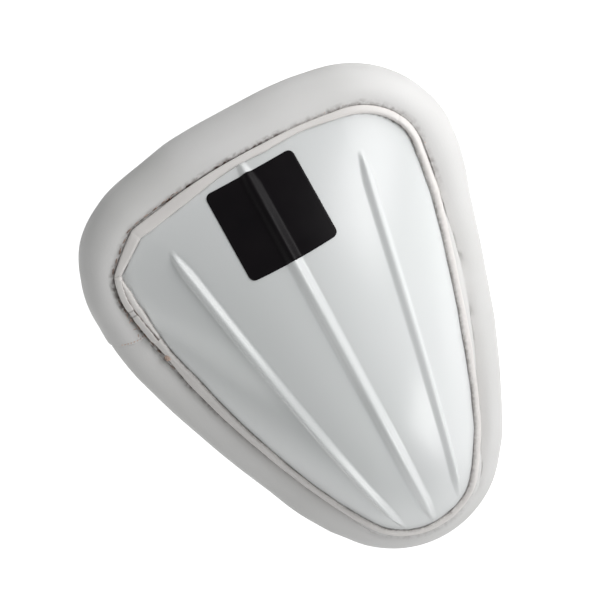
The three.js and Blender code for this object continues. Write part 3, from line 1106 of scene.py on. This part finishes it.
def add_loop(bm, matrix, major, minor):
    """Closed loop of thread: a small circle spun round."""
    before = set(bm.verts)
    stand = Matrix.Translation((major * MM, 0, 0)) @ Matrix.Rotation(math.pi / 2, 4, "X")
    circle = bmesh.ops.create_circle(bm, segments=THREAD_SIDES, radius=minor * MM, matrix=stand)
    edges = list(dict.fromkeys(edge for vertex in circle["verts"] for edge in vertex.link_edges))
    bmesh.ops.spin(
        bm,
        geom=circle["verts"] + edges,
        cent=(0, 0, 0),
        axis=(0, 0, 1),
        angle=2 * math.pi,
        steps=LOOP_STEPS,
        use_merge=True,
    )
    made = [vertex for vertex in bm.verts if vertex not in before]
    bmesh.ops.transform(bm, matrix=matrix, verts=made)


def roll_frame(cover, share, turn):
    """Matrix on the roll's cover at a turn about the roll: X round the roll, Z off it."""
    here = share + lap_shift(share, turn)
    place = on_seam(here)
    ring = roll_ring(here)
    outward = place.outward.to_3d()
    upward = Vector((0, 0, 1))
    off = math.sin(turn) * outward + math.cos(turn) * upward
    along = math.cos(turn) * outward - math.sin(turn) * upward
    centre = (place.point + ring.centre_out * place.outward).to_3d() + ring.centre_z * upward
    spot, normal, _, _ = cover.ray_cast((centre + 2 * ring.radius * off) * MM, -off)
    along = (along - along.dot(normal) * normal).normalized()
    axes = Matrix((along, normal.cross(along), normal)).transposed().to_4x4()
    return Matrix.Translation(spot) @ axes


def make_knot(finish, roll):
    """Tied end of the thread in the crease, the stitches along the lap and the loose ends."""
    cover = BVHTree.FromObject(roll, bpy.context.evaluated_depsgraph_get())
    bm = bmesh.new()
    knot = thread_frame(KNOT_SHARE, KNOT_INWARDS, KNOT_LIFT, KNOT_SWING)
    for loop in KNOT_LOOPS:
        matrix = knot @ Matrix.Translation((0, 0, loop.lift * MM)) @ Matrix.Rotation(loop.tilt, 4, "Y")
        add_loop(bm, matrix, loop.major, loop.minor)
    lap_share = LAP_SHARE + LAP_STITCH_OFFSET / SEAM_LENGTH
    for index in range(LAP_STITCHES):
        turn = lerp(LAP_SEWN_FROM, LAP_SEWN_TO, index / (LAP_STITCHES - 1))
        add_stitch(bm, roll_frame(cover, lap_share, turn), LAP_STITCH_LENGTH, LAP_STITCH_RADIUS)
    for end in LOOSE_ENDS:
        matrix = roll_frame(cover, end.share, end.turn) @ Matrix.Rotation(end.swing, 4, "Z")
        add_stitch(bm, matrix, end.length, FRAY_RADIUS)
    draw = random.Random(SEED)
    for run in FRAY_RUNS:
        for index in range(run.count):
            share = lerp(run.start, run.end, (index + draw.random()) / run.count)
            inwards = hem_outer(share) - draw.uniform(*FRAY_OUTSIDE)
            lift = draw.uniform(*FRAY_LIFTS)
            swing = draw.uniform(*FRAY_SWINGS)
            matrix = thread_frame(share, inwards, lift, swing)
            add_stitch(bm, matrix, draw.uniform(*FRAY_LENGTHS), FRAY_RADIUS)
    bmesh.ops.recalc_face_normals(bm, faces=bm.faces)
    thread = link_piece("thread_knot", bm, finish)
    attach(thread, "root")


# Finishes

def new_finish(name, roughness, specular):
    material = bpy.data.materials.new(name)
    material.use_nodes = True
    tree = material.node_tree
    shader = tree.nodes["Principled BSDF"]
    shader.inputs["Roughness"].default_value = roughness
    shader.inputs["Specular IOR Level"].default_value = specular
    return material, tree, shader


def add_node(tree, kind, inputs, **settings):
    """Adds a node. An input's value is a constant, or the socket that feeds it."""
    node = tree.nodes.new(kind)
    for name, value in settings.items():
        setattr(node, name, value)
    for key, value in inputs.items():
        if isinstance(value, bpy.types.NodeSocket):
            tree.links.new(value, node.inputs[key])
        else:
            node.inputs[key].default_value = value
    return node


def object_place(tree):
    return add_node(tree, "ShaderNodeTexCoord", {}).outputs["Object"]


def object_noise(tree, scale, detail):
    inputs = {"Vector": object_place(tree), "Scale": scale, "Detail": detail}
    return add_node(tree, "ShaderNodeTexNoise", inputs).outputs[0]


def spread(tree, value, low, high, new_low, new_high):
    inputs = {"Value": value, "From Min": low, "From Max": high, "To Min": new_low, "To Max": new_high}
    return add_node(tree, "ShaderNodeMapRange", inputs).outputs[0]


def times(tree, first, second):
    return add_node(tree, "ShaderNodeMath", {0: first, 1: second}, operation="MULTIPLY").outputs[0]


def mixed(tree, factor, first, second):
    inputs = {0: factor, 6: first, 7: second}
    return add_node(tree, "ShaderNodeMix", inputs, data_type="RGBA").outputs[2]


def painted(tree, name):
    return add_node(tree, "ShaderNodeAttribute", {}, attribute_name=name).outputs["Fac"]


def outer_face(tree):
    """1 on faces that look up and 0 on those that look down."""
    facing = add_node(tree, "ShaderNodeTexCoord", {}).outputs["Normal"]
    upward = add_node(tree, "ShaderNodeSeparateXYZ", {"Vector": facing}).outputs["Z"]
    return spread(tree, upward, -0.1, 0.1, 0, 1)


def bumped(tree, shader, height, distance, strength):
    inputs = {"Height": height, "Distance": distance, "Strength": strength}
    bump = add_node(tree, "ShaderNodeBump", inputs)
    tree.links.new(bump.outputs["Normal"], shader.inputs["Normal"])


# Brown of grime, also used for painted shade in creases, under the hem and its layer and on the bead's
# inner slope
BROWN = (0.075, 0.042, 0.03, 1)


def cup_plastic():
    material, tree, shader = new_finish("cup_plastic", 0.3, 0.5)
    cloud = spread(tree, object_noise(tree, 28, 2), 0.2, 0.8, 0, 1)
    white = mixed(tree, cloud, (0.755, 0.775, 0.77, 1), (0.765, 0.775, 0.78, 1))
    # Painted shade with grime along the hem's inner edge, broken up by noise and kept off faces that
    # look down
    near_hem = spread(tree, painted(tree, "hem_distance"), 0.0, 0.5, 1, 0)
    broken = spread(tree, object_noise(tree, 260, 2), 0.3, 0.6, 0.3, 1)
    dirt_and_shade = times(tree, times(tree, near_hem, painted(tree, "hem_dirt_and_shade")), broken)
    dirt_and_shade = times(tree, dirt_and_shade, outer_face(tree))
    tree.links.new(mixed(tree, dirt_and_shade, white, BROWN), shader.inputs["Base Color"])
    sheen = spread(tree, object_noise(tree, 90, 2), 0, 1, 0.27, 0.35)
    tree.links.new(sheen, shader.inputs["Roughness"])
    bumped(tree, shader, object_noise(tree, 45, 1), 0.0002, 0.15)
    return material


def vinyl(name, light, dark, grain, line=None):
    """Matt vinyl with a fine grain, cloudy colour, grime and painted shade where the mesh is painted
    with them, and a thin painted shadow line where a painted distance is about 0."""
    material, tree, shader = new_finish(name, 0.5, 0.35)
    cloud = spread(tree, object_noise(tree, 35, 3), 0.3, 0.7, 0, 1)
    white = mixed(tree, cloud, light, dark)
    broken = spread(tree, object_noise(tree, 700, 2), 0.36, 0.6, 0.2, 1)
    # Grime and painted shade from the mesh's values, broken up by noise
    dirt_and_shade = times(tree, painted(tree, "grime"), broken)
    soiled_and_shaded = mixed(tree, dirt_and_shade, white, BROWN)
    # Painted shadow line on the hem where the painted distance is about 0
    if line:
        distance = painted(tree, line)
        inner_side = spread(tree, distance, 0.1, 0.4, 0.85, 0)
        outer_side = spread(tree, distance, -0.9, -0.5, 0, 1)
        soiled_and_shaded = mixed(tree, times(tree, inner_side, outer_side), soiled_and_shaded, BROWN)
    tree.links.new(soiled_and_shaded, shader.inputs["Base Color"])
    rough = spread(tree, object_noise(tree, 120, 2), 0.3, 0.7, 0.45, 0.6)
    tree.links.new(rough, shader.inputs["Roughness"])
    inputs = {"Vector": object_place(tree), "Scale": grain}
    cells = add_node(tree, "ShaderNodeTexVoronoi", inputs, feature="SMOOTH_F1").outputs["Distance"]
    bumped(tree, shader, cells, 0.00006, 0.4)
    return material


def roll_vinyl():
    return vinyl("roll_vinyl", (0.76, 0.75, 0.745, 1), (0.72, 0.712, 0.70, 1), 1500)


def hem_vinyl():
    return vinyl("hem_vinyl", (0.835, 0.805, 0.785, 1), (0.785, 0.755, 0.735, 1), 1700, "layer_distance")


def label_film():
    material, tree, shader = new_finish("label_film", 0.35, 0.1)
    cloud = spread(tree, object_noise(tree, 70, 3), 0.3, 0.7, 0, 1)
    black = mixed(tree, cloud, (0.0060, 0.0050, 0.0062, 1), (0.0075, 0.0060, 0.0072, 1))
    tree.links.new(black, shader.inputs["Base Color"])
    sheen = spread(tree, object_noise(tree, 140, 3), 0.3, 0.7, 0.32, 0.42)
    tree.links.new(sheen, shader.inputs["Roughness"])
    bumped(tree, shader, object_noise(tree, 900, 2), 0.00003, 0.3)
    return material


def sewing_thread(name, light, dark):
    material, tree, shader = new_finish(name, 0.8, 0.2)
    cloud = spread(tree, object_noise(tree, 180, 2), 0.35, 0.65, 0, 1)
    tree.links.new(mixed(tree, cloud, light, dark), shader.inputs["Base Color"])
    inputs = {"Vector": object_place(tree), "Scale": 900.0, "Distortion": 2.0}
    strands = add_node(tree, "ShaderNodeTexWave", inputs).outputs["Fac"]
    bumped(tree, shader, strands, 0.00005, 0.5)
    return material


# Studio

VIEW_TILT = math.radians(23)
VIEW_TURN = math.radians(29)
CAMERA_DISTANCE = 800
CAMERA_TARGET = Vector((0, 0, 20))
FRAME_MIDDLE = Vector((-4.2, 17.6, 12.5))
LENS = 150.94
FLOOR_HALF = 2.0
FLOOR_DROP = 0.0001


def make_camera():
    back = Vector((0, math.sin(VIEW_TILT), math.cos(VIEW_TILT)))
    tip_away = Vector((0, math.cos(VIEW_TILT), -math.sin(VIEW_TILT)))
    up = math.sin(VIEW_TURN) * Vector((1, 0, 0)) + math.cos(VIEW_TURN) * tip_away
    place = CAMERA_TARGET + CAMERA_DISTANCE * back
    away = (place - FRAME_MIDDLE).normalized()
    up = (up - up.dot(away) * away).normalized()
    lens = bpy.data.cameras.new("camera")
    lens.lens = LENS
    camera = bpy.data.objects.new("camera", lens)
    axes = Matrix((up.cross(away), up, away)).transposed().to_4x4()
    camera.matrix_world = Matrix.Translation(place * MM) @ axes
    bpy.context.scene.collection.objects.link(camera)
    bpy.context.scene.camera = camera


def softbox(name, place, size, power, colour):
    light = bpy.data.lights.new(name, "AREA")
    light.shape = "RECTANGLE"
    light.size, light.size_y = size
    light.energy = power
    light.color = colour
    lamp = bpy.data.objects.new(name, light)
    lamp.location = place
    lamp.rotation_euler = (-Vector(place)).to_track_quat("-Z", "Y").to_euler()
    bpy.context.scene.collection.objects.link(lamp)


def make_studio():
    softbox("low_softbox", (0.360, 0.208, 0.078), (0.21, 0.21), 0.5, (1.0, 1.0, 1.0))
    softbox("top_softbox", (0.278, 0.161, 0.290), (0.21, 0.21), 0.84, (1.0, 1.0, 1.0))
    softbox("tip_softbox", (0.325, -0.562, 0.282), (0.35, 0.35), 2.0, (1.0, 1.0, 1.0))
    softbox("left_softbox", (-0.639, -0.113, 0.282), (0.35, 0.35), 0.95, (1.0, 1.0, 0.99))
    world = bpy.data.worlds.new("studio")
    world.use_nodes = True
    sky = world.node_tree.nodes["Background"]
    sky.inputs["Color"].default_value = (0.98, 1.0, 1.0, 1)
    sky.inputs["Strength"].default_value = 0.26
    bpy.context.scene.world = world
    bpy.context.scene.view_settings.view_transform = "Standard"


def make_floor():
    material, tree, shader = new_finish("floor_paint", 0.9, 0.1)
    cloud = spread(tree, object_noise(tree, 3, 2), 0.3, 0.7, 0, 1)
    white = mixed(tree, cloud, (0.60, 0.60, 0.60, 1), (0.61, 0.61, 0.61, 1))
    tree.links.new(white, shader.inputs["Base Color"])
    shader.inputs["Emission Color"].default_value = (1, 1, 1, 1)
    shader.inputs["Emission Strength"].default_value = 0.95
    bm = bmesh.new()
    place = Matrix.Translation((0, 0, -FLOOR_DROP))
    bmesh.ops.create_grid(bm, x_segments=4, y_segments=4, size=FLOOR_HALF, matrix=place)
    floor = link_piece("floor", bm, material)
    floor.visible_diffuse = False


make_camera()
make_cup(cup_plastic())
padded_roll = make_roll(roll_vinyl())
hem_finish = hem_vinyl()
make_hem(hem_finish)
make_layer(hem_finish)
make_label(label_film())
make_stitches(sewing_thread("sewing_thread", (0.50, 0.39, 0.34, 1), (0.17, 0.115, 0.09, 1)))
make_knot(sewing_thread("knot_thread", (0.74, 0.58, 0.50, 1), (0.52, 0.37, 0.30, 1)), padded_roll)
make_studio()
make_floor()
